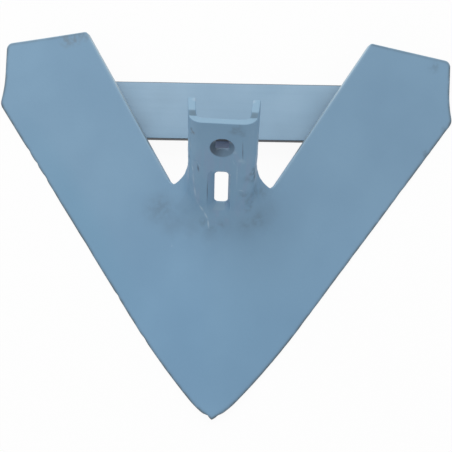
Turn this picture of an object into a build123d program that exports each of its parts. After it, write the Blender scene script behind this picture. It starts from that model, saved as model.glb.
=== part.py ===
from build123d import *
import math
import os

# A wide sowing share: a V-shaped steel blade whose neck is forged up into a channel that
# clasps the tine, braced by a flat strip welded under its two wings. Millimetres, +Z up, tip
# towards -Y, standing on its cutting edges, origin under the middle of the whole share.
# While it is being modelled, y is measured back from the tip.

# Blade
plate = 6.0                 # thickness of the forged plate
half_nose = 34.65           # a cutting edge from the line of travel, degrees
lift = 17.5                 # rise of each wing from its cutting edge inwards, degrees
edge_height = 2.0           # top face over the ground at the cutting edge
nose_cut_back = 22.0        # the tip lies this far behind where the straight edges would meet
outer_half_span = 194.0     # flared outer corner of a wing, before it is rounded
flare_out = 3.5             # that corner stands out this far past the wing's straight end
flare_length = 25.3         # from the corner back to where the straight end begins
end_length = 26.0           # the straight end, back to the rear outer corner
wing_end_width = 70.5       # from the straight end in to the heel, the rear inner corner
heel_back = 5.7             # the heel lies this far behind the rear outer corner
inner_edge_angle = 31.2     # a wing's inner edge from the line of travel, degrees
nose_straight_y = 78.0      # ahead of this the cutting edges curve in
nose_shoulder_y = 15.0      # ahead of this they curve in tighter
nose_shoulder_half = 19.0
outer_corner_radius = 8.0
rear_corner_radius = 5.0
heel_corner_radius = 2.5    # a heel is the rear inner corner of a wing
ridge_radius = 60.0         # soft ridge where the two wings meet

# Neck, the channel that the tine stands in
stem_angle = 60.5           # front face of the neck above the ground, degrees
stem_foot_y = 162.3         # where that face would meet the sharp ridge
web_length = 96.4           # from there to the end of the web
channel_width = 51.0        # outside of the channel at its front face
flange_flare = 4.8          # each flange opens out by this much from square, degrees
channel_corner_radius = 11.0
channel_depth_top = 24.5    # front face to the rear edge of a flange, at the web's end
channel_depth_foot = 23.0   # the same, at the foot of the neck
root_radius = 28.0          # sweep from the neck into the blade
ear_height = 3.2            # the flanges stand this far past the end of the web
ear_gap = 36.0              # between the ears, at the end of the web
ear_step_lean = 40.0        # the two steps lean out by this, degrees
notch_radius = 4.5          # foot of the gap between neck and wing

# Seats in the web for countersunk bolts with a square under the head
hole_along = 71.5           # up the neck from its foot
hole_mouth = 19.6
cone_slope = 40.0           # side of the countersink from the bolt's axis, degrees
hole_square = 10.6
hole_corner_radius = 0.8
slot_along = 25.2
slot_width = 10.8
slot_length = 34.4
slot_spread_left = 5.6      # its sloping sides spread this far to the left of it
slot_spread_right = 1.8     # and to the right
slot_spread_end = 5.6       # and past each end
slot_mouth_radius = 5.5     # corners of the slot where its sides meet the face
slot_land = 1.5             # straight wall left behind them
slot_corner_radius = 3.2

# Cross strip and its welds
strip_width = 50.0
strip_thickness = 6.0
strip_top = 15.0
strip_ahead_of_heel = 59.7  # to the middle of the strip
strip_skew = 1.4            # welded on slightly out of square, degrees
weld_leg = 4.0
weld_crown = 0.62           # how far the bead's face bulges, as a share of its two legs' sum

gamma = math.radians(half_nose)
beta = math.radians(lift)
phi = math.radians(stem_angle)
ridge_rise = math.sin(gamma) * math.tan(beta)
side_fall = math.cos(gamma) * math.tan(beta)
inner_run = math.tan(math.radians(inner_edge_angle))
corner_y = outer_half_span / math.tan(gamma) - nose_cut_back
end_front_y = corner_y + flare_length
end_rear_y = end_front_y + end_length
heel_y = end_rear_y + heel_back
end_half_span = outer_half_span - flare_out
heel_half_span = end_half_span - wing_end_width
strip_y = heel_y - strip_ahead_of_heel

# Stock that everything is trimmed from, clear of the share on every side
clear = 12.0
stock_half = outer_half_span + clear
stock_front = -nose_cut_back - clear
stock_rear = heel_y + clear
stock_top = 2 * web_length
stock_bottom = -web_length


def skin_z(x, y):
    """Top of the blade before its ridge is rounded."""
    return edge_height + (y + nose_cut_back) * ridge_rise - abs(x) * side_fall


foot = Vector(0, stem_foot_y, skin_z(0, stem_foot_y))
web_normal = Vector(0, -math.sin(phi), math.cos(phi))
neck_axis = Vector(0, math.cos(phi), math.sin(phi))


def on_web(along=0.0, depth=0.0):
    """Plane on the neck's front face, up the neck by along and sunk by depth: x across the
    neck, y up it, z out of the face."""
    origin = foot + neck_axis * along - web_normal * depth
    return Plane(origin=origin, x_dir=(1, 0, 0), z_dir=web_normal)


def on_wing(side, depth=0.0):
    """Plane on a wing's top face, sunk by depth: x along the cutting edge, z out of the top."""
    normal = Vector(
        side * math.sin(beta) * math.cos(gamma),
        -math.sin(beta) * math.sin(gamma),
        math.cos(beta),
    )
    nose = Vector(0, -nose_cut_back, edge_height)
    along = Vector(side * math.sin(gamma), math.cos(gamma), 0)
    return Plane(origin=nose - normal * depth, x_dir=along, z_dir=normal)


def block(x_half, y_front, y_rear, z_low, z_high):
    """A box centred across the share."""
    middle = Pos(0, (y_front + y_rear) / 2, (z_low + z_high) / 2)
    return middle * Box(2 * x_half, y_rear - y_front, z_high - z_low)


def roof():
    """All that lies below the blade's top face: a V turned over that rises to the rear, with
    its ridge rounded."""
    profile = Polyline(
        (0, skin_z(0, stock_front)),
        (stock_half, skin_z(stock_half, stock_front)),
        (stock_half, 2 * stock_bottom),
        (-stock_half, 2 * stock_bottom),
        (-stock_half, skin_z(stock_half, stock_front)),
        close=True,
    )
    end = Plane(origin=(0, stock_front, 0), x_dir=(1, 0, 0), z_dir=(0, -1, 0))
    run = Vector(0, 1, ridge_rise) * (stock_rear - stock_front)
    body = extrude(end * make_face(profile), amount=run.length, dir=run.normalized())
    ridge = body.edges().filter_by(lambda e: abs(e.center().X) < plate).sort_by(Axis.Z)[-1]
    return fillet(ridge, ridge_radius)


def stem():
    """All that lies inside the neck's outer skin: a long bar with a flat front, rounded front
    corners and sides that flare to the rear, running down through the blade."""
    half = channel_width / 2
    depth = stock_top
    rear_half = half + depth * math.tan(math.radians(flange_flare))
    outline = Polyline(
        (-half, 0), (half, 0), (rear_half, -depth), (-rear_half, -depth), close=True
    )
    section = make_face(outline)
    front_corners = section.vertices().sort_by(Axis.Y)[-2:]
    section = fillet(front_corners, channel_corner_radius)
    low_end = foot + neck_axis * stock_bottom
    across = Plane(origin=low_end, x_dir=(1, 0, 0), z_dir=-neck_axis)
    return extrude(across * section, amount=-(2 * stock_top - stock_bottom))


def forged_skin():
    """The bent plate before it is trimmed: the skin of blade and neck, thickened inwards."""
    stock = block(stock_half, stock_front, stock_rear, stock_bottom, stock_top)
    blade_body = roof()
    neck_body = stem()
    body = (blade_body + neck_body) & stock
    joint = [
        edge
        for edge in body.edges()
        if abs(edge.center().X) < channel_width
        and stem_foot_y - plate < edge.center().Y < stock_rear - clear / 2
        and abs(edge.center().Z - skin_z(edge.center().X, edge.center().Y)) < plate
    ]
    body = fillet(joint, root_radius)
    cut_faces = [
        face
        for face in body.faces().filter_by(GeomType.PLANE)
        if max(abs(value) for value in face.normal_at()) > 0.9999
    ]
    return offset(body, amount=-plate, openings=cut_faces)


def outline():
    """The blade from above, without the opening between its wings."""
    straight_half = (nose_straight_y + nose_cut_back) * math.tan(gamma)
    flare = TangentArc(
        (end_half_span, end_front_y), (outer_half_span, corner_y), tangent=(0, -1)
    )
    edge = Line(flare @ 1, (straight_half, nose_straight_y))
    nose = TangentArc(edge @ 1, (nose_shoulder_half, nose_shoulder_y), tangent=edge % 1)
    point = TangentArc(nose @ 1, (0, 0), tangent=nose % 1)
    rear = Polyline(
        (0, 0),
        (0, heel_y),
        (heel_half_span, heel_y),
        (end_half_span, end_rear_y),
        (end_half_span, end_front_y),
    )
    half = make_face([flare, edge, nose, point, *rear.edges()])
    outer = half.vertices().sort_by_distance(flare @ 1)[0]
    half = fillet(outer, outer_corner_radius)
    rear_outer = half.vertices().sort_by_distance((end_half_span, end_rear_y))[0]
    half = fillet(rear_outer, rear_corner_radius)
    return half + mirror(half, about=Plane.YZ)


def past_inner_edge(side):
    """All that lies past one wing's inner edge, whose cut face is square to the wing."""
    wing = on_wing(side)
    heel = Vector(side * heel_half_span, heel_y, skin_z(heel_half_span, heel_y))
    edge = Vector(side * inner_run, 1, ridge_rise - side_fall * inner_run)
    face = Plane(origin=heel, x_dir=edge, z_dir=edge.cross(wing.z_dir) * -side)
    size = 4 * stock_rear
    return face * Pos(0, 0, size / 2) * Box(size, size, size)


def rear_opening():
    """What is open behind the neck and between the wings: it ends at the flanges' rear edges
    and at the wings' inner edges, and is rounded in the two notches where those meet."""
    low = foot - web_normal * channel_depth_foot
    high = foot + neck_axis * web_length - web_normal * channel_depth_top
    lean = (high.Y - low.Y) / (high.Z - low.Z)
    under = -plate
    side = Polyline(
        (low.Y + (under - low.Z) * lean, under),
        (low.Y + (stock_top - low.Z) * lean, stock_top),
        (2 * stock_rear, stock_top),
        (2 * stock_rear, under),
        close=True,
    )
    behind = extrude(Plane.YZ * make_face(side), amount=stock_half, both=True)
    opening = behind & past_inner_edge(-1) & past_inner_edge(1)
    notches = [
        edge
        for edge in opening.edges().filter_by(GeomType.LINE)
        if min(abs(edge.tangent_at(0.5).X), abs(edge.tangent_at(0.5).Z)) > 0.01
        and edge.center().Y < heel_y
    ]
    return fillet(notches, notch_radius)


def top_end():
    """What is cut off above the neck: past the ears, and down to the web between them."""
    size = stock_top
    past = on_web(web_length + ear_height) * Pos(0, size / 2, 0) * Box(size, size, size)
    spread = ear_height * math.tan(math.radians(ear_step_lean))
    gap = Polyline(
        (-ear_gap / 2, 0),
        (ear_gap / 2, 0),
        (ear_gap / 2 + 2 * spread, 2 * ear_height),
        (-ear_gap / 2 - 2 * spread, 2 * ear_height),
        close=True,
    )
    between = extrude(on_web(web_length) * make_face(gap), amount=size / 2, both=True)
    return past + between


def slot_funnel():
    """The slot's sloping sides: from the slot's own outline at the land, out through the face
    to an outline spread twice as far, which lies as far above the face as the land lies below."""
    depth = plate - slot_land
    width = slot_width + 2 * (slot_spread_left + slot_spread_right)
    length = slot_length + 4 * slot_spread_end
    radius = 2 * slot_mouth_radius - slot_corner_radius
    spread = RectangleRounded(width, length, radius)
    centred = on_web(slot_along, -depth) * Pos(slot_spread_right - slot_spread_left, 0, 0)
    slot = RectangleRounded(slot_width, slot_length, slot_corner_radius)
    return loft([on_web(slot_along, depth) * slot, centred * spread])


def bolt_seats():
    """The countersunk square hole, and the slot below it with its sloping sides."""
    cone = Circle(hole_mouth / 2 - plate * math.tan(math.radians(cone_slope)))
    square = RectangleRounded(hole_square, hole_square, hole_corner_radius)
    slot = RectangleRounded(slot_width, slot_length, slot_corner_radius)
    return [
        extrude(on_web(hole_along, plate) * cone, amount=2 * plate, taper=-cone_slope),
        extrude(on_web(hole_along) * square, amount=2 * plate, both=True),
        slot_funnel(),
        extrude(on_web(slot_along) * slot, amount=2 * plate, both=True),
    ]


def plan_prism():
    """The blade's plan carried straight up and down, less the rear opening, with the heels
    rounded."""
    prism = extrude(Pos(0, 0, stock_bottom) * outline(), amount=stock_top - stock_bottom)
    prism = prism - rear_opening()
    heels = [
        edge
        for edge in prism.edges().filter_by(GeomType.LINE)
        if abs(edge.center().X) > heel_half_span / 2
        and edge.center().Y > end_rear_y
        and abs(edge.tangent_at(0.5).Z) > 0.7
    ]
    return fillet(heels, heel_corner_radius)


def make_blade():
    above_ground = block(stock_half, stock_front, stock_rear, 0, stock_top)
    body = forged_skin() & plan_prism() & above_ground
    body = body - top_end()
    body = body.solids().sort_by(SortBy.VOLUME)[-1]
    for seat in bolt_seats():
        body = body - seat
    return body


def strip_place():
    """Frame of the cross strip: x along it, y across it to the rear, z up, origin at its middle."""
    return Pos(0, strip_y, strip_top - strip_thickness / 2) * Rot(0, 0, strip_skew)


def make_cross_strip():
    """Flat strip whose ends are mitred to lie flat against the undersides of the wings."""
    strip = strip_place() * Box(2 * stock_half, strip_width, strip_thickness)
    size = 4 * stock_rear
    for side in (-1, 1):
        strip = strip - on_wing(side, plate) * Pos(0, 0, size / 2) * Box(size, size, size)
    return strip


def make_weld(side, edge_sign):
    """Bead in the corner between one long edge of the strip and the underside of one wing. It
    runs out where the strip's lower face comes up to the wing."""
    strip = Plane(strip_place())
    under = on_wing(side, plate)
    outward = strip.y_dir * edge_sign
    edge_middle = strip.origin + outward * (strip_width / 2)
    to_wing = (under.origin - edge_middle).dot(under.z_dir) / strip.x_dir.dot(under.z_dir)
    corner = edge_middle + strip.x_dir * to_wing
    run = outward.cross(under.z_dir).normalized()
    section_plane = Plane(origin=corner, x_dir=outward, z_dir=run)
    lean = math.atan2(-outward.dot(under.z_dir), section_plane.y_dir.dot(under.z_dir))
    on_under = Vector(math.cos(lean), math.sin(lean)) * weld_leg
    on_strip = Vector(0, -weld_leg)
    crown = (on_under + on_strip) * weld_crown
    section = make_face(
        [
            Line((0, 0), on_under),
            ThreePointArc(on_under, crown, on_strip),
            Line(on_strip, (0, 0)),
        ]
    )
    half_length = strip_thickness / abs(run.Z) / 2
    bead = extrude(section_plane * section, amount=half_length, both=True)
    strip_bottom = strip_top - strip_thickness
    return bead & block(stock_half, stock_front, stock_rear, strip_bottom, stock_top)


blade = make_blade()
share = {
    "blade": blade,
    "cross_strip": make_cross_strip(),
    "weld_front_left": make_weld(-1, -1),
    "weld_front_right": make_weld(1, -1),
    "weld_rear_left": make_weld(-1, 1),
    "weld_rear_right": make_weld(1, 1),
}
to_origin = Pos(0, -blade.bounding_box().center().Y, 0)
os.makedirs("parts", exist_ok=True)
for name, piece in share.items():
    export_step(to_origin * piece, f"parts/{name}.step")
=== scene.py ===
import math

import bpy
import numpy as np
from mathutils import Matrix, Vector


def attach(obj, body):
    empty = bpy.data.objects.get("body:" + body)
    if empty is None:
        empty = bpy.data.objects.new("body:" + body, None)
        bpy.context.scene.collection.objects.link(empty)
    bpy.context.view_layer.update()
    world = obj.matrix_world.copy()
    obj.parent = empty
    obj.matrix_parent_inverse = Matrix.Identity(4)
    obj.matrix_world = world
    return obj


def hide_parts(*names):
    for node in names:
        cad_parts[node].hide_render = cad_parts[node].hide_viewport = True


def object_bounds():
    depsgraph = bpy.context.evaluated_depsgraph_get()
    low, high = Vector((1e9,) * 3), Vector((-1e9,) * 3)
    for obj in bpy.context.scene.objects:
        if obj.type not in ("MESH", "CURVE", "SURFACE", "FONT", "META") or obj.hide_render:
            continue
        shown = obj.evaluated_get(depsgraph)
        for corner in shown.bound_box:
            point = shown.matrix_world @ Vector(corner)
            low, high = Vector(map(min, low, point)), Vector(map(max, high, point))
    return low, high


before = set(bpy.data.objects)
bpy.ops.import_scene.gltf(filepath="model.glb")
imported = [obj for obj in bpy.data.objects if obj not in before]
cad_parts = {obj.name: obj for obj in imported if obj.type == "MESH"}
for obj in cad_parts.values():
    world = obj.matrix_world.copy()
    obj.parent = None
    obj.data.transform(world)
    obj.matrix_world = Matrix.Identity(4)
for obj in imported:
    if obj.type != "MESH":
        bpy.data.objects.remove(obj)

solid_box = [list(corner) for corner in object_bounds()]
scene = bpy.context.scene

# Blade. One forging of 6 mm steel: two wings that rise from the cutting edges to a soft ridge,
# with the neck drawn up behind them into a channel for the tine. Its surface is worked out in
# millimetres, with y measured back from the tip, and it wears a thin coat of grey-blue primer.

half_nose, lift = math.radians(34.65), math.radians(17.5)
rise = math.sin(half_nose) * math.tan(lift)
fall = math.cos(half_nose) * math.tan(lift)
lean = math.radians(60.5)
edge_height, nose_cut_back, plate = 2.0, 22.0, 6.0
ridge_radius, neck_radius, root_radius, notch_radius = 60.0, 11.0, 28.0, 4.5
neck_y, middle_y = 162.3, 157.847
foot = np.array([0, neck_y, edge_height + (neck_y + nose_cut_back) * rise])
face_out = np.array([0, -math.sin(lean), math.cos(lean)])
up_neck = np.array([0, math.cos(lean), math.sin(lean)])
neck_half, flare = 25.5, math.radians(4.8)
web_end, ear_rise, step_depth, step_run = 96.4, 3.2, 7.6, 3.7
depth_foot, depth_top = 23.0, 24.5
inner_run = math.tan(math.radians(31.2))
corner_across, end_across, heel_across = 194.0, 190.5, 120.0
corner = np.array([corner_across, corner_across / math.tan(half_nose) - nose_cut_back])
end_front = np.array([end_across, corner[1] + 25.3])
end_rear = np.array([end_across, end_front[1] + 26.0])
heel = np.array([heel_across, end_rear[1] + 5.7])
outer_radius, rear_radius, heel_radius = 8.0, 5.0, 2.5
shoulder_y, inner_foot_y, root_y = 78.0, 192.0, 149.0
nib_shoulder = (19.0, 15.0)


def wing_up(hand):
    """Direction square to the top of a wing, the left one for -1 and the right one for 1."""
    sideways, forward = math.sin(lift) * math.cos(half_nose), math.sin(lift) * math.sin(half_nose)
    return np.array([hand * sideways, -forward, math.cos(lift)])


def rounded_edge(d1, n1, d2, n2, radius):
    """Distance from two faces that meet at an outer edge rounded to a radius, and its
    direction: between the faces' two normals it is the distance from the rounding's centre
    line less the radius, and elsewhere it is the larger of the two faces' distances."""
    c = (n1 * n2).sum(-1)
    s = np.maximum(1 - c * c, 1e-9)
    w1 = (d1 + radius - c * (d2 + radius)) / s
    w2 = (d2 + radius - c * (d1 + radius)) / s
    out = w1[..., None] * n1 + w2[..., None] * n2
    size = np.maximum(np.linalg.norm(out, axis=-1), 1e-9)
    between = (w1 > 0) & (w2 > 0)
    d = np.where(between, size - radius, np.maximum(d1, d2))
    n = np.where(between[..., None], out / size[..., None], np.where((d1 > d2)[..., None], n1, n2))
    return d, n


def rounded_inside(d1, n1, d2, n2, radius):
    """The same for an inner corner filled to a radius."""
    d, n = rounded_edge(-d1, -n1, -d2, -n2, radius)
    return -d, -n


def skin(p):
    """Distance of points from the blade's outer skin, and its direction. The wings are two
    planes with a ridge rounded to 60 mm, the neck is a front face and two sides that flare,
    with corners rounded to 11 mm, and the root between them is swept to 28 mm."""
    side = np.where(p[..., 0] < 0, -1.0, 1.0)
    nose = np.array([0, -nose_cut_back, edge_height])
    wings = []
    for hand in (-1.0, 1.0):
        wings += [(p - nose) @ wing_up(hand), np.broadcast_to(wing_up(hand), p.shape)]
    roof = rounded_edge(*wings, ridge_radius)
    front = (p - foot) @ face_out
    cheek = (side * p[..., 0] - neck_half) * math.cos(flare) + front * math.sin(flare)
    cheek_out = np.stack([side * math.cos(flare), side * 0, side * 0], -1) + math.sin(flare) * face_out
    neck = rounded_edge(front, np.broadcast_to(face_out, p.shape), cheek, cheek_out, neck_radius)
    return rounded_inside(*roof, *neck, root_radius)


def opening(p):
    """Distance of points ahead of the opening behind the neck and between the wings, and its
    direction: a plane along the flanges' rear edges and one along a wing's inner edge, square
    to the wing, with the notch between them rounded to 4.5 mm."""
    side = np.where(p[..., 0] < 0, -1.0, 1.0)
    low = foot - face_out * depth_foot
    high = foot + up_neck * web_end - face_out * depth_top
    along = (high - low) / np.linalg.norm(high - low)
    n1 = np.array([0, -along[2], along[1]])
    d1 = (p - low) @ n1
    heel_height = edge_height + (heel[1] + nose_cut_back) * rise - heel[0] * fall
    heel_top = np.array([heel[0], heel[1], heel_height])
    edge_way = np.array([inner_run, 1, rise - fall * inner_run])
    square = np.cross(edge_way, wing_up(1.0))
    square = square / np.linalg.norm(square) * np.sign(square[0])
    d2 = (p * np.stack([side, side * 0 + 1, side * 0 + 1], -1) - heel_top) @ square
    n2 = np.stack([side * square[0], side * 0 + square[1], side * 0 + square[2]], -1)
    d, n = rounded_edge(d1, np.broadcast_to(n1, p.shape), d2, n2, notch_radius)
    return d, n, d1 - d2


def settle(p, level, on_opening=False, upright=False):
    """Moves points onto the skin sunk by level, by stepping along its direction (or straight
    up and down) by their distance, and onto the opening's wall too where asked."""
    p = p.copy()
    for _ in range(60):
        d, n = skin(p)
        if upright:
            p[..., 2] -= np.clip((d + level) / np.maximum(n[..., 2], 0.2), -8, 8)
        else:
            p -= (d + level)[..., None] * n
        if on_opening:
            d, n, _ = opening(p)
            p -= d[..., None] * n
    return p


def spaced(path, count):
    """A path's points spaced out evenly along it, count steps in all."""
    run = np.concatenate([[0], np.cumsum(np.linalg.norm(np.diff(path, axis=0), axis=1))])
    at = np.linspace(0, run[-1], count + 1)
    return np.stack([np.interp(at, run, path[:, k]) for k in range(path.shape[1])], -1)


def arc_from(start, heading, end, count=60):
    """Arc that leaves start along a heading and reaches end, and its heading there."""
    start, end = np.array(start, float), np.array(end, float)
    heading = np.array(heading, float) / np.linalg.norm(heading)
    left = np.array([-heading[1], heading[0]])
    chord = end - start
    radius = chord @ chord / (2 * chord @ left)
    centre = start + radius * left
    turn = 2 * math.atan2(chord @ left, chord @ heading)
    t = np.linspace(0, turn, count)[:, None]
    arm = start - centre
    points = centre + arm * np.cos(t) + np.array([[-arm[1], arm[0]]]) * np.sin(t)
    return points, heading * math.cos(turn) + left * math.sin(turn)


def rounded_turn(before, at, after, radius, count=12):
    """Arc that rounds the corner at a point between two straight runs."""
    u = (before - at) / np.linalg.norm(before - at)
    w = (after - at) / np.linalg.norm(after - at)
    half = math.acos(np.clip(u @ w, -1, 1)) / 2
    centre = at + (u + w) / np.linalg.norm(u + w) * radius / math.sin(half)
    start = at + u * radius / math.tan(half)
    sweep = (math.pi - 2 * half) * np.sign(u[0] * w[1] - u[1] * w[0])
    t = np.linspace(0, -sweep, count)[:, None]
    arm = start - centre
    return centre + arm * np.cos(t) + np.array([[-arm[1], arm[0]]]) * np.sin(t)


def outline(level):
    """Half of the edge of the skin sunk by level, from above: the cutting edge from the tip to
    the middle of the outer corner, from there round the wing's end to the middle of the heel's
    corner, and along the inner edge, which moves out as it sinks since it is square to the
    wing, so that the heel's corner slides along the rear edge."""
    cut = np.array([math.sin(half_nose), math.cos(half_nose)])
    shoulder = np.array([(shoulder_y + nose_cut_back) * math.tan(half_nose), shoulder_y])
    nose, heading = arc_from(shoulder, -cut, nib_shoulder)
    point, _ = arc_from(nib_shoulder, heading, (0.0, 0.0))
    flared, heading = arc_from(end_front, (0, -1), corner)
    turn_o = rounded_turn(shoulder, corner, corner - heading, outer_radius)
    turn_k = rounded_turn(end_front, end_rear, heel, rear_radius)
    rearward = (heel - end_rear) / np.linalg.norm(heel - end_rear)
    aside = np.array([1, -inner_run])
    low_heel = heel - level * rearward * (wing_up(1.0)[:2] @ aside) / (rearward @ aside)
    inner_end = low_heel - (low_heel[1] - inner_foot_y) * np.array([inner_run, 1])
    turn_h = rounded_turn(end_rear, low_heel, inner_end, heel_radius)
    flared = flared[np.linalg.norm(flared - corner, axis=1) > np.linalg.norm(turn_o[-1] - corner)]
    mid = len(turn_o) // 2
    edge = np.concatenate([point[::-1], nose[-2::-1], turn_o[: mid + 1]])
    end = np.concatenate([turn_o[mid:], flared[::-1], turn_k, turn_h[: mid + 1]])
    return edge, end, np.concatenate([turn_h[mid:], np.linspace(turn_h[-1], inner_end, 150)[1:]])


# Steps of the blade's grids: across half the neck and half its ear, along a wing, from the
# cutting edge to the rear, and up the neck.
across_neck, across_ear, along_wing, over_blade, up_stem = 40, 17, 150, 88, 76


def patch(front, rear, left, right):
    """Points of a four-sided patch from its edges: each pair of facing edges is blended
    straight across, the two blends are added, and the blend of the corners is taken off."""
    u = np.linspace(0, 1, len(front))[:, None, None]
    v = np.linspace(0, 1, len(left))[None, :, None]
    ends = (1 - u) * ((1 - v) * front[0] + v * rear[0]) + u * ((1 - v) * front[-1] + v * rear[-1])
    return (1 - v) * front[:, None] + v * rear[:, None] + (1 - u) * left[None] + u * right[None] - ends


def on_ground(p, level):
    """Points at plan positions set on the skin sunk by level; the underside ends at the
    ground, with the turn between them eased over half a millimetre."""
    p = settle(p, level, upright=True)
    if level:
        z = p[..., 2]
        p[..., 2] = np.where(np.abs(z) < 0.5, (z + 0.5) ** 2 / 2, np.maximum(z, 0))
    return p


def with_height(plan, height=20.0):
    """Plan positions as points in space."""
    return np.concatenate([plan, np.full((*plan.shape[:-1], 1), height)], -1)


def stem_end(p):
    """How far up the neck it ends: at the web's end, then up a leaning step to the ears."""
    depth = -(p - foot) @ face_out
    return web_end + np.clip((depth - step_depth) / step_run, 0, 1) * ear_rise


def section(along, level, count):
    """Points across half of the neck on its skin, from the middle to the flange's rear edge."""
    half = neck_half - level
    rear = depth_foot + (depth_top - depth_foot) * along / web_end
    guess = np.array([
        (0, level), (half * 0.5, level), (half - 2, level + 2), (half, level + 8), (half + 2, rear)
    ])
    path = spaced(guess, 400)
    points = foot + path[:, :1] * [1, 0, 0] - path[:, 1:] * face_out + along * up_neck
    points = settle(points, level)
    ahead = opening(points)[0]
    points = points[ahead > 0]
    tail = settle(points[-1:], level, on_opening=True)
    return spaced(np.concatenate([points, tail]), count)


def rim(level):
    """Corner line of the skin sunk by level, from the tip along the cutting edge, round the
    wing's end, along its inner edge, round the notch, up the flange and across the web's end,
    in five runs."""
    edge, end, inner = outline(level)
    cutting = on_ground(with_height(spaced(edge, across_neck + along_wing)), level)
    wing_end = on_ground(with_height(spaced(end, over_blade)), level)
    inner = on_ground(with_height(inner), level)
    a = np.linspace(10, 104, 300)[:, None]
    rear = foot + a * up_neck - (depth_foot + (depth_top - depth_foot) * a / web_end) * face_out
    rear = rear + np.array([neck_half + 2.0 - level, 0, 0])
    foot_run = np.linspace(inner[-1], rear[0], 60)[1:-1]
    back = settle(np.concatenate([inner[-20:], foot_run, rear]), level, on_opening=True)
    gap = opening(back)[2]
    notch = np.argmax(gap > 0)
    high = (back - foot) @ up_neck
    top = web_end + ear_rise
    last = np.argmax(high > top)
    share = (top - high[last - 1]) / (high[last] - high[last - 1])
    tip_point = back[last - 1] + share * (back[last] - back[last - 1])
    inner_edge = spaced(np.concatenate([inner[:-20], back[: notch + 1]]), along_wing)
    flange = spaced(np.concatenate([back[notch:last], tip_point[None]]), up_stem)
    across = section(top, level, 400)
    across = across + (stem_end(across) - top)[:, None] * up_neck
    across[-1] = tip_point
    step_foot = np.argmax(-(across - foot) @ face_out > step_depth)
    ear = spaced(across[step_foot:][::-1], across_ear)
    web = spaced(across[: step_foot + 1][::-1], across_neck - across_ear)
    return [cutting, wing_end, inner_edge, flange, np.concatenate([ear, web[1:]])]


def unit(v):
    """Vectors made one long, each divided by its own length."""
    return v / np.maximum(np.linalg.norm(v, axis=-1, keepdims=True), 1e-12)


def inward(corners, level):
    """For each point of the rim's half loop, the direction in the skin that leads away from
    the rim: the skin's direction crossed with the rim's own."""
    mirrored = corners[[1, -2]] * [-1, 1, 1]
    run = np.concatenate([mirrored[:1], corners, mirrored[1:]])
    along = unit(unit(run[2:] - run[1:-1]) + unit(run[1:-1] - run[:-2]))
    n = skin(corners)[1]
    if level:
        n = np.where(corners[:, 2:] < 0.01, [0.0, 0, 1], n)
    return unit(np.cross(n, along))


def sheet(runs, level):
    """The skin sunk by level, as two grids for the right half: the blade, and the neck."""
    cutting, wing_end, inner_edge, flange, top = runs
    mid = np.linspace(0, 1, over_blade + 1)[:, None]
    t = np.linspace(0, math.pi / 2, across_neck + 1)
    notch = flange[0]
    root = np.stack([notch[0] * np.sin(t), notch[1] - (notch[1] - root_y) * np.cos(t)], -1)
    rear = np.concatenate([root, inner_edge[::-1][1:, :2]])
    ridge = cutting[0, :2] + mid * (root[0] - cutting[0, :2])
    plan = patch(cutting[:, :2], rear, ridge, wing_end[:, :2])
    blade = on_ground(with_height(plan, 40.0), level)
    blade[:, 0] = cutting
    blade[-1, :] = wing_end
    blade[across_neck:, -1] = inner_edge[::-1]
    share = np.linspace(0, 1, across_neck + 1)
    low = blade[: across_neck + 1, -1]
    turn_up = 16 + 16 * share**1.5
    start = section(20.0, level, across_neck)
    start = start + (turn_up - 20.0)[:, None] * up_neck
    start = settle(start, level)
    high = top[::-1]
    first = np.linalg.norm(start - low, axis=1)
    second = np.linalg.norm(high - start, axis=1)
    v = np.linspace(0, 1, up_stem + 1)[None, :, None]
    part = (first / (first + second))[:, None, None]
    lower = low[:, None] + (start - low)[:, None] * np.clip(v / part, 0, 1)
    upper = (high - start)[:, None] * np.clip((v - part) / (1 - part), 0, 1)
    neck = settle(lower + upper, level)
    pull = share[:, None, None] ** 4
    neck = settle(neck + pull * (flange - neck[-1])[None], level)
    neck[:, 0], neck[-1], neck[:, -1] = low, flange, high
    neck[0, :, 0] = 0
    blade[0, :, 0] = 0
    return blade, neck


def both_sides(half):
    """A right-half grid with its mirror image, as one grid from left to right."""
    return np.concatenate([half[:0:-1] * [-1, 1, 1], half])


def quads(index):
    """Faces between the neighbouring points of a grid."""
    return np.stack([index[:-1, :-1], index[1:, :-1], index[1:, 1:], index[:-1, 1:]], -1).reshape(-1, 4)


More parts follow.
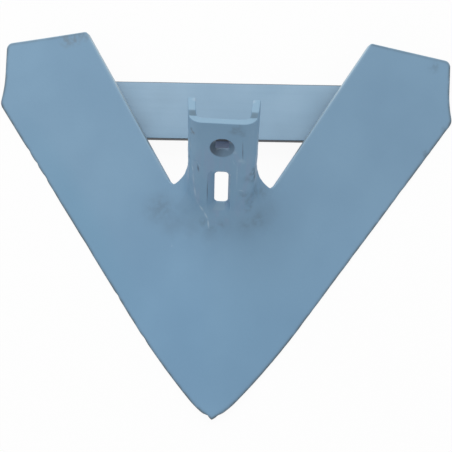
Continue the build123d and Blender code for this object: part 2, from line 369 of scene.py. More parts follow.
def build_blade():
    """The blade's points and faces. The skin and the skin sunk by the plate are two grids each,
    blade and neck, mirrored. Between the two skins' rims run rings of points: a quarter turn
    out of the upper skin, straight down, and a quarter turn into the lower one."""
    tops, bottoms = rim(0.0), rim(plate)
    chain = [np.concatenate([r[0][:1], *[k[1:] for k in r]]) for r in (tops, bottoms)]
    top, bottom = chain
    thick = np.linalg.norm(bottom - top, axis=1)
    radius = np.minimum(0.8, 0.22 * thick)[:, None]
    down = unit(bottom - top)
    points, faces, loops, base = [], [], [], 0
    for level, corners in ((0.0, top), (plate, bottom)):
        away = inward(corners, level)
        pulled = corners + radius * away
        if level:
            pulled = np.where(corners[:, 2:] < 0.01, pulled * [1, 1, 0], settle(pulled, level))
        else:
            pulled = settle(pulled, level)
        cuts = np.cumsum([0, across_neck + along_wing, over_blade, along_wing, up_stem, across_neck])
        runs = [pulled[a : b + 1] for a, b in zip(cuts[:-1], cuts[1:])]
        blade, neck = [both_sides(g) for g in sheet(runs, level)]
        size = blade[..., 0].size
        on_blade = base + np.arange(size).reshape(blade.shape[:2])
        middle = across_neck + along_wing
        shared = on_blade[middle - across_neck : middle + across_neck + 1, -1:]
        fresh = neck[:, 1:]
        numbers = np.arange(fresh[..., 0].size).reshape(fresh.shape[:2])
        on_stem = np.concatenate([shared, base + size + numbers], 1)
        points += [blade.reshape(-1, 3), fresh.reshape(-1, 3)]
        base += size + fresh[..., 0].size
        grid = np.concatenate([quads(on_blade), quads(on_stem)])
        faces.append(grid if level == 0 else grid[:, ::-1])
        right = np.concatenate([
            on_blade[middle:, 0],
            on_blade[-1, 1:],
            on_blade[middle + across_neck : -1, -1][::-1],
            on_stem[-1, 1:],
            on_stem[across_neck:-1, -1][::-1],
        ])
        left = np.concatenate([
            on_blade[: middle + 1, 0][::-1],
            on_blade[0, 1:],
            on_blade[1 : middle - across_neck + 1, -1],
            on_stem[0, 1:],
            on_stem[1 : across_neck + 1, -1],
        ])
        loops.append((right, left, away))
    turn = np.linspace(0, math.pi / 2, 5)[1:, None, None]
    share = np.linspace(0, 1, 5)[1:-1, None, None]
    rows = np.concatenate([
        top + radius * ((1 - np.sin(turn)) * loops[0][2] + (1 - np.cos(turn)) * down),
        top + down * radius + (bottom - top - 2 * down * radius) * share,
        bottom + radius * ((1 - np.sin(turn)) * loops[1][2] - (1 - np.cos(turn)) * down)[::-1],
    ])
    count = len(top)
    for hand, which in ((1, 0), (-1, 1)):
        ring = np.empty((rows.shape[0] + 2, count), int)
        ring[0], ring[-1] = loops[0][which], loops[1][which]
        ring[1:-1] = base + np.arange(rows.shape[0] * count).reshape(rows.shape[0], count)
        if hand < 0:
            ring[1:-1, 0], ring[1:-1, -1] = first_ring[1:-1, 0], first_ring[1:-1, -1]
        first_ring = ring
        points.append((rows * [hand, 1, 1]).reshape(-1, 3))
        base += rows.shape[0] * count
        faces.append(quads(ring)[:, ::hand])
    return np.concatenate(points), np.concatenate(faces)


def wavy(p, waves, length, seed):
    """Even unevenness between about -1 and 1: a sum of sine waves of about one length, each
    running its own way through space."""
    draw = np.random.default_rng(seed)
    ways = unit(draw.normal(size=(waves, 3))) / (length * draw.uniform(0.7, 1.4, (waves, 1)))
    return np.sin(2 * math.pi * (p @ ways.T + draw.uniform(0, 1, waves))).sum(-1) / math.sqrt(waves)


def to_line(p, line):
    """Distance of points from a line of straight stretches: the least of the distances from
    the nearest point of each stretch."""
    start, step = line[:-1], np.diff(line, axis=0)
    t = ((p[:, None] - start) * step).sum(-1) / (step * step).sum(-1)
    near = start + np.clip(t, 0, 1)[..., None] * step
    return np.linalg.norm(p[:, None] - near, axis=-1).min(1)


def bell(distance, width):
    """1 in the middle, falling away smoothly over a width."""
    return np.exp(-((distance / width) ** 2))


seam = np.array([
    (-23.0, 190.0, 78.0), (-22.1, 185.7, 71.7), (-21.2, 177.9, 59.1), (-19.8, 171.1, 48.7),
    (-17.4, 167.0, 42.8), (-13.4, 162.4, 37.7), (-10.0, 157.4, 33.6), (-9.0, 150.5, 30.6),
])
fold = np.array([(-21.2, 191.2, 83.0), (-19.4, 190.2, 82.6), (-17.3, 188.3, 80.5), (-16.9, 185.0, 75.0)])
nib_sides = [(-4.2, 3.2, 1.3), (5.2, 3.6, 0.7)]
nicks = [
    (218, 0.5, 2.5), (207, 0.6, 1.8), (195, 0.5, 3.0), (97, 0.6, 2.0), (63, 0.4, 2.5), (9, 0.5, 1.5),
]


def forge(p):
    """Moves the skin's points by the marks of forging and use: a slow rise and fall of the
    wings, scale and dents that grow towards the neck, a raised seam, a fold cut beside it,
    nicks in the cutting edges, deepest on the left, and the two dents that leave a nib at the
    tip."""
    d, n = skin(p)
    near_neck = bell(np.maximum(np.linalg.norm((p - [0, 178, 40]) * [1, 1.1, 0.4], axis=1) - 34, 0), 16)
    dents = 0.13 * wavy(p, 9, 13.0, 4) + 0.07 * wavy(p, 9, 5.0, 5)
    raise_by = 0.16 * wavy(p, 7, 80.0, 3) + near_neck * dents
    front = (d > -1.0) & (n[:, 1] < 0.2)
    raise_by += front * (0.45 * bell(to_line(p, seam), 1.0) - 0.6 * bell(to_line(p, fold), 0.9))
    p = p + np.where(p[:, 2:] < 0.05, 0.0, n) * raise_by[:, None]
    hand = np.where(p[:, 0] < 0, -1.0, 1.0)
    from_edge = (p[:, 1] + nose_cut_back) * math.sin(half_nose) - np.abs(p[:, 0]) * math.cos(half_nose)
    depth = 0.12 * np.abs(wavy(p * [1, 1, 0], 7, 17.0, 6))
    for back, deep, wide in nicks:
        depth += deep * (hand < 0) * bell(p[:, 1] - back, wide)
    depth *= bell(from_edge, 4.0)
    for across, back, deep in nib_sides:
        depth += deep * bell(np.linalg.norm(p[:, :2] - [across, back], axis=1), 2.2)
    way_in = np.stack([-hand * math.cos(half_nose), 0 * hand + math.sin(half_nose), 0 * hand], -1)
    return p + way_in * depth[:, None]


def mesh_of(name, p, faces):
    """A piece of the share from its points in millimetres, measured back from the tip, set
    down where the share stands, smooth but for its sharp turns."""
    made = bpy.data.meshes.new(name)
    made.from_pydata((p - [0, middle_y, 0]) / 1000, [], faces)
    made.shade_smooth()
    made.set_sharp_from_angle(angle=math.radians(32))
    piece = bpy.data.objects.new(name, made)
    scene.collection.objects.link(piece)
    return piece


def tube(rings):
    """Faces round a row of closed rings of points, and one face across each end."""
    count = rings.shape[1]
    ring = np.arange(rings.shape[0] * count).reshape(-1, count)
    walls = quads(np.concatenate([ring, ring[:, :1]], 1))
    return walls.tolist() + [ring[0].tolist(), ring[-1][::-1].tolist()]


def plug(outlines, depths, along):
    """Solid that cuts a seat into the neck, from outlines across and up the neck, one at each
    depth behind its face."""
    p = foot + along * up_neck + outlines[..., :1] * [1, 0, 0] + outlines[..., 1:] * up_neck
    p = p - depths[:, None, None] * face_out
    made = bpy.data.meshes.new("plug")
    made.from_pydata(((p - [0, middle_y, 0]) / 1000).reshape(-1, 3), [], tube(p))
    return bpy.data.objects.new("plug", made)


def round_box(width, length, radius, across=0.0):
    """Outline of a rectangle with rounded corners, set off to one side by across: at each
    turn it is the corner's centre plus the radius that way."""
    turn = np.linspace(0, math.pi / 2, 8)
    quarters = []
    for quarter, (x, y) in enumerate([(1, 1), (-1, 1), (-1, -1), (1, -1)]):
        t = turn + quarter * math.pi / 2
        centre = [x * (width / 2 - radius) + across, y * (length / 2 - radius)]
        quarters.append(centre + radius * np.stack([np.cos(t), np.sin(t)], -1))
    return np.concatenate(quarters)


def cut(piece, plugs):
    """Takes the plugs' solids out of a piece for good."""
    for tool in plugs:
        scene.collection.objects.link(tool)
        knife = piece.modifiers.new("seat", "BOOLEAN")
        knife.operation, knife.solver, knife.object = "DIFFERENCE", "EXACT", tool
    graph = bpy.context.evaluated_depsgraph_get()
    done = bpy.data.meshes.new_from_object(piece.evaluated_get(graph))
    piece.modifiers.clear()
    piece.data = done
    for tool in plugs:
        bpy.data.objects.remove(tool)


points, faces = build_blade()
used, faces = np.unique(faces, return_inverse=True)
points = forge(points[used])
lowest, highest = 1000 * np.array(solid_box) + [0, middle_y, 0]
points = np.clip(points, lowest, highest)
blade = mesh_of("forged_blade", points, faces.reshape(-1, 4).tolist())

hole_along, slot_along, through = 71.5, 25.2, 10.0
turns = np.linspace(0, 2 * math.pi, 64, endpoint=False)
circle = np.stack([np.cos(turns), np.sin(turns)], -1)
cone_depths = np.array([-4.0, -0.3, 0.1, 0.7, 8.0])
cone_radii = 9.8 - cone_depths * math.tan(math.radians(40)) + [1.0, 0.35, 0.1, 0.0, 0.0]
cone = plug(cone_radii[:, None, None] * circle, cone_depths, hole_along)
square = plug(np.stack([round_box(10.6, 10.6, 0.8)] * 2), np.array([-2.0, through]), hole_along)
slot = plug(np.stack([round_box(10.8, 34.4, 3.2)] * 2), np.array([-9.0, through]), slot_along)
funnel_depths = np.array([-9.0, -4.0, 0.0, 4.5])
funnel = [
    round_box(10.8 + 7.4 * s, 34.4 + 11.2 * s, 3.2 + 2.3 * s, -1.9 * s) for s in (4.5 - funnel_depths) / 4.5
]
cut(blade, [cone, square, plug(np.stack(funnel), funnel_depths, slot_along), slot])
blade.data.shade_smooth()
blade.data.set_sharp_from_angle(angle=math.radians(32))


def mark_edge(piece, name, line, width):
    """Stores how near each of a piece's points lies to a line in the right half of the plan or
    to its mirror image: 1 on it, falling away smoothly over a width."""
    flat = np.empty(3 * len(piece.data.vertices))
    piece.data.vertices.foreach_get("co", flat)
    plan = np.abs(1000 * flat.reshape(-1, 3)[:, :2] + [0, middle_y])
    near = bell(to_line(plan, line), width)
    piece.data.attributes.new(name, "FLOAT", "POINT").data.foreach_set("value", near)


cutting_edge, wing_end, inner_edge = outline(0.0)
mark_edge(blade, "rim", np.concatenate([spaced(cutting_edge, 60), wing_end[1:]]), 1.5)
mark_edge(blade, "inner", inner_edge, 1.3)


def node(tree, kind, settings=None, **inputs):
    """A new shader node with its own settings, and its inputs set, or linked where an output
    is given. An input is named as on the node, or by its number as i0, i1 and so on."""
    made = tree.nodes.new("ShaderNode" + kind)
    for name, value in (settings or {}).items():
        setattr(made, name, value)
    for name, value in inputs.items():
        by_number = name[0] == "i" and name[1:].isdigit()
        socket = made.inputs[int(name[1:])] if by_number else made.inputs[name]
        if isinstance(value, bpy.types.NodeSocket):
            tree.links.new(value, socket)
        else:
            socket.default_value = value
    return made


def math_of(tree, operation, *values):
    """Result of one sum on numbers or outputs."""
    inputs = {f"i{number}": value for number, value in enumerate(values)}
    return node(tree, "Math", {"operation": operation}, **inputs).outputs[0]


def ramp(tree, value, low, high, to_low=0.0, to_high=1.0):
    """A value carried smoothly from one range to another and held at its ends."""
    settings = {"interpolation_type": "SMOOTHSTEP"}
    return node(tree, "MapRange", settings, i0=value, i1=low, i2=high, i3=to_low, i4=to_high).outputs[0]


def noise(tree, at, scale, detail=3.0, out=0):
    """Soft noise about a half, at so many waves to the metre; out=1 gives it as a vector."""
    return node(tree, "TexNoise", Vector=at, Scale=scale, Detail=detail).outputs[out]


def blend(tree, share, first, second):
    """First colour, turning into the second by a share."""
    inputs = {"i0": share, "i6": first, "i7": second}
    return node(tree, "Mix", {"data_type": "RGBA"}, **inputs).outputs[2]


def mark(tree, at, middle, sizes, along=(1, 0, 0), soft=1.0):
    """Strength of a mark shaped as an ellipsoid, in millimetres back from the tip: 1 in its
    middle and 0 at its edge. Its first size lies along the way given."""
    turn = Vector(along).to_track_quat("X", "Z").to_euler()
    place = (Vector(middle) - Vector((0, middle_y, 0))) / 1000
    inputs = {"Vector": at, "Location": place, "Rotation": turn, "Scale": Vector(sizes) / 1000}
    placed = node(tree, "Mapping", {"vector_type": "TEXTURE"}, **inputs)
    far = node(tree, "VectorMath", {"operation": "LENGTH"}, i0=placed.outputs[0]).outputs[1]
    return ramp(tree, far, 1.0, 1.0 - soft)


def marks(tree, at, rows):
    """Strongest of a table of marks: x, y and z, how far each reaches, and its strength."""
    total = 0.0
    for x, y, z, reach, strength in rows:
        one = mark(tree, at, (x, y, z), (reach,) * 3)
        total = math_of(tree, "MAXIMUM", total, math_of(tree, "MULTIPLY", one, strength))
    return total


def lines(tree, at, rows):
    """Strongest of a table of thin straight marks: both ends, half the width and strength."""
    total = 0.0
    for *ends, width, strength in rows:
        a, b = np.array(ends[:3]), np.array(ends[3:])
        half = np.linalg.norm(b - a) / 2
        one = mark(tree, at, (a + b) / 2, (half + width, width, width), b - a)
        total = math_of(tree, "MAXIMUM", total, math_of(tree, "MULTIPLY", one, strength))
    return total


def coat(name, roughness):
    """A new painted finish: the material, its node tree and its shader."""
    made = bpy.data.materials.new(name)
    made.use_nodes = True
    shader = made.node_tree.nodes["Principled BSDF"]
    shader.inputs["Roughness"].default_value = roughness
    return made, made.node_tree, shader


def on_neck(across, along, depth=0.0):
    """Point across and up the neck, at a depth behind its front face."""
    return foot + across * np.array([1, 0, 0]) + along * up_neck - depth * face_out


def reach_along(tree, vector, way):
    """How far a vector reaches along a way: their dot product."""
    return node(tree, "VectorMath", {"operation": "DOT_PRODUCT"}, i0=vector, i1=tuple(way)).outputs[1]


def turned_to(tree, way, low, high):
    """How far the surface faces a way: 0 up to a low cosine and 1 from a high one."""
    facing = node(tree, "NewGeometry").outputs["Normal"]
    return ramp(tree, reach_along(tree, facing, way), low, high)


# Dark halo round the root of the neck: partly painted shade cast by the neck, partly discoloured paint.
root_shade_and_discolour = [
    (-49.8, 165.2, 23.0, 22.0, 0.8), (-38.7, 157.0, 24.2, 20.0, 0.8), (-24.4, 151.5, 27.9, 15.0, 0.5),
    (-9.0, 147.0, 31.0, 13.0, 0.4), (5.5, 149.8, 33.5, 13.0, 0.4), (20.1, 152.9, 30.1, 14.0, 0.45),
    (34.0, 161.0, 28.1, 15.0, 0.5), (42.0, 169.0, 28.1, 12.0, 0.35), (26.1, 175.3, 46.5, 13.0, 0.4),
]
stains = [
    (8.4, 206.5, 113.2, 6.5, 0.5), (14.6, 205.5, 111.3, 6.0, 0.45), (11.6, 208.0, 115.8, 5.0, 0.4),
    (-23.7, 208.1, 108.3, 2.8, 0.9), (-23.6, 205.6, 104.0, 2.4, 0.7), (-25.3, 195.0, 80.1, 3.0, 0.9),
    (-25.9, 198.1, 82.3, 2.6, 0.7), (24.9, 188.6, 70.3, 7.0, 1.0), (25.9, 186.2, 61.6, 7.5, 1.0),
    (22.5, 166.6, 38.0, 6.0, 0.5), (29.5, 159.6, 28.1, 9.0, 0.4), (20.1, 155.9, 30.1, 6.0, 0.4),
    (1.3, 155.2, 32.8, 6.0, 0.35), (-13.6, 155.4, 31.8, 6.0, 0.35), (-6.5, 149.2, 30.4, 5.5, 0.35),
    (-49.8, 167.2, 23.0, 16.0, 0.3), (26.1, 178.3, 46.5, 10.0, 0.55), (18.2, 173.3, 53.8, 7.0, 0.4),
    (23.6, 171.9, 44.4, 8.0, 0.5), (33.1, 181.7, 34.9, 8.0, 0.4), (20.0, 181.9, 67.5, 7.0, 0.4),
    (175.8, 303.3, 14.7, 8.0, 0.35), (187.5, 252.0, 2.0, 5.0, 0.5), (172.0, 228.5, 2.0, 7.0, 0.7),
]
mouth_left, mouth_low, mouth_high = -10.7, 3.6, 46.0
# Dark lines: the first is painted shade beside the fold, the second a crack, the third a mark on the left
# flange, and the last two painted shade along the slot pocket's left wall and lower corner.
dark_lines = [
    (-18.9, 190.6, 81.6, -17.6, 184.9, 74.0, 1.1, 1.0),
    (15.2, 202.6, 106.3, 16.1, 190.4, 84.7, 0.7, 0.8),
    (-24.6, 207.0, 105.5, -24.2, 196.0, 84.0, 0.8, 0.6),
    (*on_neck(mouth_left, mouth_low + 4), *on_neck(mouth_left, mouth_high - 5), 0.9, 0.75),
    (*on_neck(mouth_left + 0.4, mouth_low + 4), *on_neck(mouth_left + 5, mouth_low + 0.5), 1.0, 0.7),
]
# Light lines: the two runs along the fold and the seam are painted highlights on raised edges, the rest are
# scratches and light marks.
light_lines = [
    (13.6, 175.9, 59.1, 18.3, 175.5, 57.7, 0.8, 1.0),
    (11.9, 192.8, 89.0, 12.1, 174.7, 57.0, 0.8, 0.45),
    (15.0, 191.5, 86.5, 15.2, 176.0, 62.0, 0.7, 0.3),
    (-24.3, 203.1, 97.2, -24.5, 197.9, 88.4, 1.3, 0.5),
    (8.2, 191.7, 87.1, 10.4, 188.7, 81.8, 0.9, 0.4),
    (-20.6, 190.8, 83.6, -18.2, 189.4, 82.0, 0.9, 1.0),
    (-18.2, 189.4, 82.0, -16.2, 186.9, 78.6, 0.9, 0.9),
] + [(*a, *b, 1.15, 0.95) for a, b in zip(seam[:-1], seam[1:])]
# Light spots: rubbed paint, and painted highlights on the far ends of the two ears.
rubs_and_ear_highlights = [
    (15.0, 191.0, 85.9, 4.0, 0.5), (-38.7, 137.5, 20.6, 1.3, 1.0), (9.0, 196.0, 94.0, 3.0, 0.3),
    (*on_neck(-22.0, 99.6, 22.5), 3.6, 0.9), (*on_neck(22.0, 99.6, 22.5), 3.6, 0.9),
]
rust = [
    (-136.7, 308.9, 26.0, 9.0, 0.45), (-129.7, 310.6, 28.1, 10.0, 0.5), (-121.9, 312.6, 30.5, 8.0, 0.4),
    (-22.0, 205.7, 107.3, 2.6, 0.8), (26.8, 188.5, 58.8, 3.5, 0.5),
]
primer, tree, shader = coat("blade_primer", 0.48)
here = node(tree, "TexCoord").outputs["Object"]
shaken = noise(tree, here, 260, out=1)
shake = 0.006
ragged = node(tree, "VectorMath", {"operation": "MULTIPLY_ADD"}, i0=shaken, i1=(shake,) * 3, i2=here)
ragged = node(tree, "VectorMath", {"operation": "ADD"}, i0=ragged.outputs[0], i1=(-shake / 2,) * 3)
ragged = ragged.outputs[0]
cloud = noise(tree, here, 11.0)
grain = noise(tree, here, 900.0)
rear_colour = blend(tree, ramp(tree, cloud, 0.3, 0.7), (0.182, 0.320, 0.464, 1), (0.205, 0.354, 0.502, 1))
nose_colour = blend(tree, ramp(tree, cloud, 0.3, 0.7), (0.172, 0.324, 0.488, 1), (0.194, 0.358, 0.528, 1))
how_far_back = node(tree, "SeparateXYZ", Vector=here).outputs[1]
colour = blend(tree, ramp(tree, how_far_back, -0.10, 0.06), nose_colour, rear_colour)
# A band of painted shade along the left cutting edge.
left_edge_shade = lines(tree, here, [(-52.0, 62.0, 5.0, -186.0, 262.0, 5.0, 24.0, 0.45)])
colour = blend(tree, left_edge_shade, colour, (0.152, 0.318, 0.468, 1))
flakes = {"Vector": here, "Rotation": (lean, 0, 0), "Scale": (0.006, 0.040, 0.006)}
drawn_up = node(tree, "Mapping", {"vector_type": "TEXTURE"}, **flakes).outputs[0]
scaly = ramp(tree, noise(tree, drawn_up, 1.0, 4.0), 0.46, 0.62, 0.0, 0.45)
over_neck = mark(tree, here, (0, 184, 58), (34.0, 40.0, 56.0), soft=0.3)
colour = blend(tree, math_of(tree, "MULTIPLY", scaly, over_neck), colour, (0.222, 0.318, 0.470, 1))
patchy = ramp(tree, noise(tree, here, 210.0, 4.0), 0.38, 0.62, 0.1, 1.0)
clouded = ramp(tree, noise(tree, here, 75.0, 3.0), 0.25, 0.6, 0.35, 1.0)
# Painted shade and discoloured paint round the root of the neck.
shaded_and_discoloured = math_of(tree, "MULTIPLY", marks(tree, ragged, root_shade_and_discolour), clouded)
colour = blend(tree, math_of(tree, "MULTIPLY", shaded_and_discoloured, 0.5), colour, (0.118, 0.192, 0.278, 1))
stained = math_of(tree, "MULTIPLY", marks(tree, ragged, stains), patchy)
colour = blend(tree, math_of(tree, "MULTIPLY", stained, 0.8), colour, (0.095, 0.135, 0.170, 1))
near_neck = mark(tree, here, (0, 192, 62), (78.0, 64.0, 98.0), soft=0.12)
flat_part = math_of(tree, "SUBTRACT", 1.0, near_neck)
rim = node(tree, "Attribute", {"attribute_name": "rim"}).outputs["Fac"]
inner = node(tree, "Attribute", {"attribute_name": "inner"}).outputs["Fac"]
thin_paint = ramp(tree, noise(tree, here, 120.0, 3.0), 0.3, 0.6, 0.5, 1.0)
colour = blend(tree, math_of(tree, "MULTIPLY", rim, thin_paint), colour, (0.080, 0.110, 0.130, 1))
# Painted shade on the walls and undersides, the faces turned away from the top, except round the neck.
steep_shade = math_of(tree, "MULTIPLY", turned_to(tree, (0, 0, -1), -0.86, -0.45), flat_part)
colour = blend(tree, math_of(tree, "MULTIPLY", steep_shade, 0.8), colour, (0.095, 0.120, 0.135, 1))
lit_faces, arrises = 0.0, 0.0
for hand in (-1.0, 1.0):
    inner_way = Vector((-0.83 * hand, 0.50, 0.25)).normalized()
    arris_way = (inner_way + Vector(wing_up(hand))).normalized()
    lit_faces = math_of(tree, "MAXIMUM", lit_faces, turned_to(tree, inner_way, 0.80, 0.95))
    arrises = math_of(tree, "MAXIMUM", arrises, turned_to(tree, arris_way, 0.90, 0.97))
# The inner edges' faces: painted shade near the notch, turning into a painted highlight towards the heel,
# where they face the lamp.
towards_heel = ramp(tree, how_far_back, 0.030, 0.130)
inner_face_light_and_shade = blend(tree, towards_heel, (0.115, 0.165, 0.205, 1), (0.380, 0.505, 0.600, 1))
# Painted highlight on the inner edges' rounded arrises and in a band along the edges.
arrises = math_of(tree, "MULTIPLY", arrises, flat_part)
edge_highlight = math_of(tree, "MAXIMUM", arrises, math_of(tree, "MULTIPLY", inner, 0.45))
colour = blend(tree, edge_highlight, colour, (0.310, 0.450, 0.570, 1))
colour = blend(tree, math_of(tree, "MULTIPLY", lit_faces, flat_part), colour, inner_face_light_and_shade)
step_way = step_run * up_neck + ear_rise * face_out
step_way = tuple(step_way / np.linalg.norm(step_way))
at_web_end = mark(tree, here, on_neck(0, 98, 9.5), (32.0, 10.0, 7.0), soft=0.3)
step = math_of(tree, "MULTIPLY", turned_to(tree, step_way, 0.92, 0.97), at_web_end)
colour = blend(tree, step, colour, (0.160, 0.252, 0.335, 1))
# Painted highlight on the slot pocket's lower wall, which faces up.
low_wall_way = tuple(0.627 * up_neck + 0.780 * face_out)
low_wall_highlight = mark(tree, here, on_neck(-1.9, 6.0, 2.6), (13.0, 4.2, 5.0), soft=0.3)
low_wall_highlight = math_of(tree, "MULTIPLY", low_wall_highlight, turned_to(tree, low_wall_way, 0.975, 0.993))
colour = blend(tree, low_wall_highlight, colour, (0.225, 0.365, 0.500, 1))
# Painted shade beside the fold and in the slot pocket, with a crack and a flange mark.
colour = blend(tree, lines(tree, here, dark_lines), colour, (0.075, 0.095, 0.135, 1))
# Painted highlight on the neck's end faces, which face up the neck towards the lamp.
end_face_highlight = turned_to(tree, tuple(up_neck), 0.75, 0.92)
colour = blend(tree, end_face_highlight, colour, (0.232, 0.385, 0.520, 1))
# Painted highlights on the seam, the fold's ridge and the ears' ends, with scratches and rubbed paint.
light = math_of(tree, "MAXIMUM", lines(tree, here, light_lines), marks(tree, ragged, rubs_and_ear_highlights))
colour = blend(tree, light, colour, (0.330, 0.470, 0.590, 1))
rusty = math_of(tree, "MULTIPLY", marks(tree, ragged, rust), patchy)
colour = blend(tree, rusty, colour, (0.150, 0.165, 0.180, 1))
# Painted shade in the countersunk seat, with painted light rising towards its lower right flank.
seat = on_neck(0, hole_along)
in_seat = mark(tree, here, seat, (40.0, 10.6, 10.6), face_out, soft=0.08)
seat_place = (seat - [0, middle_y, 0]) / 1000
face_depth = float(-face_out @ seat_place)
sunk = ramp(tree, reach_along(tree, here, -face_out), face_depth + 0.0003, face_depth + 0.0009)
in_seat = math_of(tree, "MULTIPLY", in_seat, sunk)
lit_way = (np.array([1, 0, 0]) - up_neck) / 1.414
lit_from = float(lit_way @ seat_place)
lit = ramp(tree, reach_along(tree, here, lit_way), lit_from - 0.002, lit_from + 0.009)
seat_shade_and_light = blend(tree, lit, (0.072, 0.112, 0.160, 1), (0.145, 0.240, 0.345, 1))
colour = blend(tree, in_seat, colour, seat_shade_and_light)
tree.links.new(colour, shader.inputs["Base Color"])
worn = node(tree, "MapRange", i0=grain, i1=0.0, i2=1.0, i3=0.42, i4=0.56).outputs[0]
tree.links.new(math_of(tree, "MULTIPLY_ADD", rusty, 0.3, worn), shader.inputs["Roughness"])
skin_of_paint = math_of(tree, "MULTIPLY_ADD", grain, 0.3, noise(tree, here, 320.0, 2.0))
bump = node(tree, "Bump", Strength=0.35, Distance=0.0002, Height=skin_of_paint)
tree.links.new(bump.outputs[0], shader.inputs["Normal"])
blade.data.materials.clear()
blade.data.materials.append(primer)
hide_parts("blade")
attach(blade, "root")

# Cross strip. Flat bar, 50 by 6 mm, sprung in under the two wings and mitred at its ends to
# lie flat against them, with the rolled bar's soft corners and the same primer, cleaner.

strip_y, strip_z, skew = 256.03, 12.0, math.radians(1.4)
bar_width, bar_thick, bar_corner = 50.0, 6.0, 0.7
across_bar = np.array([-math.sin(skew), math.cos(skew), 0])


def under_wing(p, hand):
    """How far points lie below a wing's underside, up to 6 mm under its top."""
    return -((p - [0, -nose_cut_back, edge_height]) @ wing_up(hand) + plate), wing_up(hand)


def bar_end(start, hand, sunk):
    """Where straight lines along the bar from points on its middle reach a wing's underside,
    and a little past it."""
    along_bar = hand * np.array([math.cos(skew), math.sin(skew), 0])
    gap, n = under_wing(start, hand)
    return start + ((gap + sunk) / (along_bar @ n))[:, None] * along_bar


def build_strip():
    """The bar's rounded section carried from wing to wing, bowed and wavy by a few hundredths
    of a millimetre."""
    quarters = round_box(bar_width, bar_thick, bar_corner).reshape(4, -1, 2)
    sides = np.linspace(quarters[:, -1], np.roll(quarters, -1, 0)[:, 0], 16)[1:-1].transpose(1, 0, 2)
    shape = np.concatenate([quarters, sides], 1).reshape(-1, 2)
    start = np.array([0, strip_y, strip_z]) + shape[:, :1] * across_bar + shape[:, 1:] * [0, 0, 1]
    right, left = bar_end(start, 1, 0.25), bar_end(start, -1, 0.25)
    rings = right + (left - right) * np.linspace(0, 1, 161)[:, None, None]
    return rings + 0.05 * wavy(rings, 7, 60.0, 8)[..., None] * [0, 0.5, 1]


def rings_mesh(name, rings):
    """A piece made of a row of closed rings of points."""
    return mesh_of(name, rings.reshape(-1, 3), tube(rings))


strip = rings_mesh("flat_strip", build_strip())
bar_paint, tree, shader = coat("strip_primer", 0.45)
here = node(tree, "TexCoord").outputs["Object"]
drawn = node(tree, "VectorMath", {"operation": "MULTIPLY"}, i0=here, i1=(9.0, 260.0, 260.0)).outputs[0]
streaks = noise(tree, drawn, 1.0, 4.0)
cloud = noise(tree, here, 22.0)
colour = blend(tree, ramp(tree, cloud, 0.3, 0.7), (0.252, 0.398, 0.535, 1), (0.282, 0.430, 0.568, 1))
colour = blend(tree, ramp(tree, streaks, 0.42, 0.75, 0.0, 0.15), colour, (0.215, 0.335, 0.455, 1))
smudges = [
    (-70.0, 243.0, 15.0, 14.0, 0.5), (-52.0, 268.0, 15.0, 18.0, 0.3), (48.0, 238.0, 15.0, 16.0, 0.35),
    (86.0, 262.0, 15.0, 20.0, 0.4), (-108.0, 262.0, 15.0, 22.0, 0.5), (112.0, 258.0, 15.0, 16.0, 0.3),
]
smudged = math_of(tree, "MULTIPLY", marks(tree, here, smudges), 0.5)
colour = blend(tree, smudged, colour, (0.195, 0.300, 0.400, 1))
rear_line = float(across_bar[1] * (strip_y - middle_y) + bar_width / 2) / 1000
at_rear = ramp(tree, reach_along(tree, here, across_bar), rear_line - 0.0011, rear_line - 0.0003)
colour = blend(tree, at_rear, colour, (0.090, 0.125, 0.155, 1))
# Painted shade on the strip's front face, which is turned away from the lamp.
colour = blend(tree, turned_to(tree, (0, -1, 0), 0.35, 0.9), colour, (0.035, 0.045, 0.060, 1))
tree.links.new(colour, shader.inputs["Base Color"])
rolled = math_of(tree, "ADD", streaks, noise(tree, here, 320.0))
bump = node(tree, "Bump", Strength=0.3, Distance=0.0002, Height=rolled)
tree.links.new(bump.outputs[0], shader.inputs["Normal"])
strip.data.materials.append(bar_paint)
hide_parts("cross_strip")
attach(strip, "root")

# Welds. Four beads of weld metal that hold the strip, in the corners between its long edges
# and the wings. Each is laid in ripples and runs out where the strip's underside meets the wing.


def build_weld(hand, edge):
    """A bead along its corner line: across it the face is a curve from the wing to the strip,
    pulled out between them, and along it the legs swell by ripples and shrink to nothing."""
    out = edge * across_bar
    middle = np.array([[0, strip_y, strip_z]]) + bar_width / 2 * out
    corner, n = bar_end(middle, hand, 0.0), under_wing(middle, hand)[1]
    run = unit(np.cross(out, n))
    run = run * np.sign(run[2])
    on_wing = unit(np.cross(run, n))
    on_wing = on_wing * np.sign(on_wing @ out)
    down = unit(np.cross(run, out))
    down = down * -np.sign(down[2])
    s = np.linspace(-3.0, 3.05, 90)[:, None] / run[2]
    high = s * run[2] + 3.0
    t = np.linspace(0, 1, 14)
    ripple = 1 + 0.05 * np.sin(2 * math.pi * (s / 1.7 - 0.45 * np.sin(math.pi * t)))
    ripple = ripple + 0.03 * np.sin(s * 0.9 + 2 * t)
    leg = np.minimum(4.0, high / np.abs(down[2])) * np.sqrt(np.clip((6.1 - high) / 0.5, 0.01, 1)) + 0.12
    pull = 0.74 * 2 * t * (1 - t)
    face = ((1 - t) ** 2 + pull)[:, None] * on_wing + (t**2 + pull)[:, None] * down
    line = corner + s * run
    bead = line[:, None] + (leg * ripple)[..., None] * face
    back = line[:, None] - 0.3 * (on_wing + down)
    rings = np.concatenate([bead, back], 1)
    return rings[:: hand * edge]


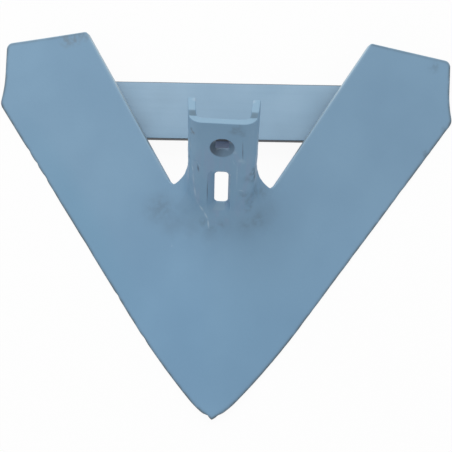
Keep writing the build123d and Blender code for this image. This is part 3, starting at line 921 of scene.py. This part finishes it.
weld_paint, tree, shader = coat("weld_primer", 0.5)
here = node(tree, "TexCoord").outputs["Object"]
sooty = ramp(tree, noise(tree, here, 170.0, 4.0), 0.35, 0.7)
colour = blend(tree, sooty, (0.185, 0.300, 0.415, 1), (0.120, 0.170, 0.225, 1))
tree.links.new(colour, shader.inputs["Base Color"])
bump = node(tree, "Bump", Strength=0.4, Distance=0.0002, Height=noise(tree, here, 700.0))
tree.links.new(bump.outputs[0], shader.inputs["Normal"])
for end, edge in (("front", -1), ("rear", 1)):
    for side, hand in (("left", -1), ("right", 1)):
        weld = rings_mesh(f"bead_{end}_{side}", build_weld(hand, edge))
        weld.data.materials.append(weld_paint)
        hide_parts(f"weld_{end}_{side}")
        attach(weld, "root")

# Ground. A pale board, which the camera sees as a white backdrop that still takes a little of
# the share's shadow. It is plain but for a painted shadow under the neck, which shows through
# the upper seat.

reach = 3.0
board = bpy.data.meshes.new("ground")
corners = [(-reach, -reach, 0), (reach, -reach, 0), (reach, reach, 0), (-reach, reach, 0)]
board.from_pydata(corners, [], [(0, 1, 2, 3)])
ground = bpy.data.objects.new("ground", board)
scene.collection.objects.link(ground)
pale, tree, shader = coat("pale_board", 0.9)
here = node(tree, "TexCoord").outputs["Object"]
# A painted shadow under the neck: a darker board colour there, with no white for the camera.
shade = mark(tree, here, (-1.8, middle_y + 74.0, 0), (18.0, 13.0, 40.0), soft=0.5)
colour = blend(tree, shade, (0.85, 0.85, 0.85, 1), (0.34, 0.39, 0.52, 1))
tree.links.new(colour, shader.inputs["Base Color"])
rays = node(tree, "LightPath").outputs
mirrored = math_of(tree, "MAXIMUM", rays["Is Glossy Ray"], rays["Is Transmission Ray"])
seen = math_of(tree, "MAXIMUM", rays["Is Camera Ray"], mirrored)
white = node(tree, "Emission", Color=(1, 1, 1, 1), Strength=1.0)
whitened = math_of(tree, "MULTIPLY", seen, math_of(tree, "MULTIPLY_ADD", shade, -0.94, 0.94))
both = node(tree, "MixShader", i0=whitened, i1=shader.outputs[0], i2=white.outputs[0])
tree.links.new(both.outputs[0], tree.nodes["Material Output"].inputs["Surface"])
board.materials.append(pale)

# Light and camera. A white room, a broad soft lamp behind and to the left, and the camera
# nearly overhead, at the angle of the photograph.

world = bpy.data.worlds.new("white room")
scene.world = world
world.use_nodes = True
world.node_tree.nodes["Background"].inputs["Color"].default_value = (1, 1, 1, 1)
world.node_tree.nodes["Background"].inputs["Strength"].default_value = 0.72

lamp_data = bpy.data.lights.new("broad_lamp", "AREA")
lamp_data.energy = 14.0
lamp_data.size = 1.2
lamp = bpy.data.objects.new("broad_lamp", lamp_data)
lamp.location = (-0.5, 1.3, 1.3)
lamp.rotation_mode = "QUATERNION"
lamp.rotation_quaternion = (-Vector(lamp.location)).to_track_quat("-Z", "Y")
scene.collection.objects.link(lamp)

camera = bpy.data.objects.new("camera", bpy.data.cameras.new("camera"))
scene.collection.objects.link(camera)
sensor, image_width, focal_length = 36.0, 452, 1040
camera.data.sensor_width = sensor
camera.data.lens = sensor * focal_length / image_width
camera.data.clip_start = 0.05
camera.data.clip_end = 20.0
turned, raised = math.radians(2.496), math.radians(77.042)
right = Vector((math.cos(turned), math.sin(turned), 0))
back = Vector((math.sin(turned) * math.cos(raised), -math.cos(turned) * math.cos(raised), math.sin(raised)))
axes = Matrix((right, back.cross(right), back)).transposed().to_4x4()
camera.matrix_world = Matrix.Translation((0.01306, -0.192836, 0.84854)) @ axes
scene.camera = camera
scene.view_settings.view_transform = "Standard"
